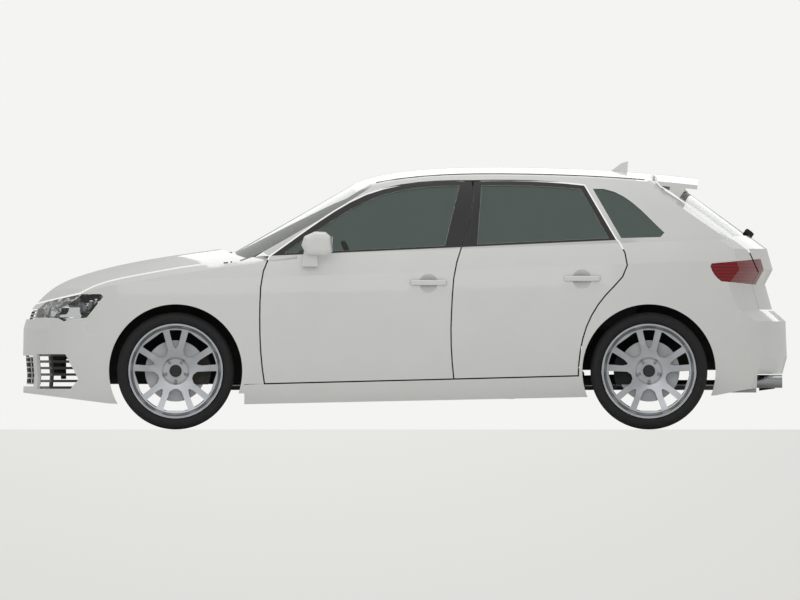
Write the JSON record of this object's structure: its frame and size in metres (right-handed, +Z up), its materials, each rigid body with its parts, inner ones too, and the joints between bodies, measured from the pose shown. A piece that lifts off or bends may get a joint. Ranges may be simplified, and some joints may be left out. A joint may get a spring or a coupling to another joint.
{
  "type": "hot hatchback",
  "caption": "Five-door hot hatchback with lofted body panels, opening doors, bonnet and tailgate, steered front wheels and a hollow cabin.",
  "frame": {"origin": "on the floor under the middle of the car", "axes": "+X forward, +Y to the car's left, +Z up"},
  "size_m": [4.2399, 2.024, 1.489],
  "materials": {
    "paint": "gloss white paint",
    "glass": "clear, lightly tinted",
    "lamp_lens": "clear",
    "red_lens": "gloss",
    "black_plastic": "matt",
    "steel_sheet": "matt",
    "cast_alloy": "satin",
    "cast_iron": "matt",
    "tyre_rubber": "matt",
    "cloth": "woven"
  },
  "bodies": {
    "body": {"body_sides": "paint", "roof": "paint", "windscreen": "glass", "quarter_glass": "glass", "front_fenders": "paint", "headlamps": "lamp_lens", "front_bumper": "paint", "grille": "black_plastic", "rear_bumper": "paint", "exhaust": "steel_sheet", "diffuser": "black_plastic", "tail_lamps": "red_lens", "floor_pan": "steel_sheet", "front_frame": "steel_sheet", "scuttle": "black_plastic", "engine": "cast_alloy", "front_subframe": "steel_sheet", "rear_axle": "steel_sheet", "dashboard": "black_plastic", "front_seats": "cloth", "rear_bench": "cloth"},
    "front_door_left": {"front_door_left": "paint", "front_door_glass_left": "glass", "door_mirror_left": "paint"},
    "rear_door_left": {"rear_door_left": "paint", "rear_door_glass_left": "glass"},
    "front_door_right": {"front_door_right": "paint", "front_door_glass_right": "glass", "door_mirror_right": "paint"},
    "rear_door_right": {"rear_door_right": "paint", "rear_door_glass_right": "glass"},
    "bonnet": {"bonnet": "paint"},
    "tailgate": {"tailgate": "paint", "tailgate_glass": "glass", "spoiler": "paint", "tailgate_lamps": "red_lens"},
    "front_knuckle_left": {"front_knuckle_left": "cast_iron"},
    "front_wheel_left": {"front_wheel_left": "cast_alloy", "front_tyre_left": "tyre_rubber"},
    "rear_wheel_left": {"rear_wheel_left": "cast_alloy", "rear_tyre_left": "tyre_rubber"},
    "front_knuckle_right": {"front_knuckle_right": "cast_iron"},
    "front_wheel_right": {"front_wheel_right": "cast_alloy", "front_tyre_right": "tyre_rubber"},
    "rear_wheel_right": {"rear_wheel_right": "cast_alloy", "rear_tyre_right": "tyre_rubber"},
    "steering_wheel": {"steering_wheel": "black_plastic"}
  },
  "joints": [
    {"name": "front_door_left_hinge", "type": "hinge", "parent": "body", "child": "front_door_left", "pos_m": [0.717, 0.876, 0.59], "axis": [0, 0, -1], "range_deg": [0, 65]},
    {"name": "rear_door_left_hinge", "type": "hinge", "parent": "body", "child": "rear_door_left", "pos_m": [-0.341, 0.876, 0.59], "axis": [0, 0, -1], "range_deg": [0, 65]},
    {"name": "front_door_right_hinge", "type": "hinge", "parent": "body", "child": "front_door_right", "pos_m": [0.717, -0.876, 0.59], "axis": [0, 0, 1], "range_deg": [0, 65]},
    {"name": "rear_door_right_hinge", "type": "hinge", "parent": "body", "child": "rear_door_right", "pos_m": [-0.341, -0.876, 0.59], "axis": [0, 0, 1], "range_deg": [0, 65]},
    {"name": "bonnet_hinge", "type": "hinge", "parent": "body", "child": "bonnet", "pos_m": [0.8, 0, 0.905], "axis": [0, -1, 0], "range_deg": [0, 50]},
    {"name": "tailgate_hinge", "type": "hinge", "parent": "body", "child": "tailgate", "pos_m": [-1.382, 0, 1.403], "axis": [0, 1, 0], "range_deg": [0, 78]},
    {"name": "steer_left", "type": "hinge", "parent": "body", "child": "front_knuckle_left", "pos_m": [1.273, 0.672, 0.325], "axis": [0, 0, 1], "range_deg": [-33, 33]},
    {"name": "front_wheel_left_spin", "type": "hinge", "parent": "front_knuckle_left", "child": "front_wheel_left", "pos_m": [1.273, 0.765, 0.325], "axis": [0, 1, 0], "continuous": true},
    {"name": "rear_wheel_left_spin", "type": "hinge", "parent": "body", "child": "rear_wheel_left", "pos_m": [-1.354, 0.765, 0.325], "axis": [0, 1, 0], "continuous": true},
    {"name": "steer_right", "type": "hinge", "parent": "body", "child": "front_knuckle_right", "pos_m": [1.273, -0.672, 0.325], "axis": [0, 0, 1], "range_deg": [-33, 33]},
    {"name": "front_wheel_right_spin", "type": "hinge", "parent": "front_knuckle_right", "child": "front_wheel_right", "pos_m": [1.273, -0.765, 0.325], "axis": [0, 1, 0], "continuous": true},
    {"name": "rear_wheel_right_spin", "type": "hinge", "parent": "body", "child": "rear_wheel_right", "pos_m": [-1.354, -0.765, 0.325], "axis": [0, 1, 0], "continuous": true},
    {"name": "steering_column", "type": "hinge", "parent": "body", "child": "steering_wheel", "pos_m": [0.265, 0.37, 0.87], "axis": [-0.9062, 0, 0.4229], "range_deg": [-500, 500]}
  ],
  "couplings": [
    {"joint": "steer_right", "follows": "steer_left", "ratio": 1},
    {"joint": "steering_column", "follows": "steer_left", "ratio": 15}
  ]
}
